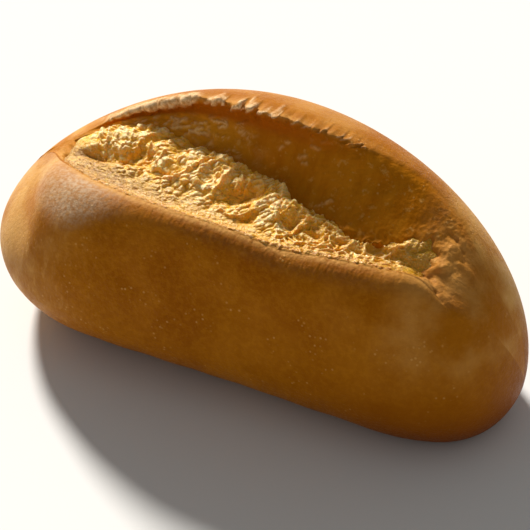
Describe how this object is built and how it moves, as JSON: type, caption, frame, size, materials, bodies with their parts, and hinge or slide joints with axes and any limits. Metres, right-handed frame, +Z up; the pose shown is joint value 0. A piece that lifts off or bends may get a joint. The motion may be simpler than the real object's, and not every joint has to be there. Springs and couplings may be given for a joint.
{
  "type": "bread roll",
  "caption": "Oval crusty white bread roll, blunt at both ends, with one long slash that opens to rough crumb under a raised torn lip, on a flat underside.",
  "frame": {"origin": "centre of the bounding box in plan, on the flat underside", "axes": "+X along the roll's length towards its slightly lower end, +Y towards the side that carries the torn lip, +Z up"},
  "size_m": [0.15, 0.0773, 0.072],
  "materials": {
    "crust": "baked crust, golden brown with a soft satin sheen, paler and rough where the slash has torn open"
  },
  "bodies": {
    "root": {"roll": "crust"}
  },
  "joints": []
}
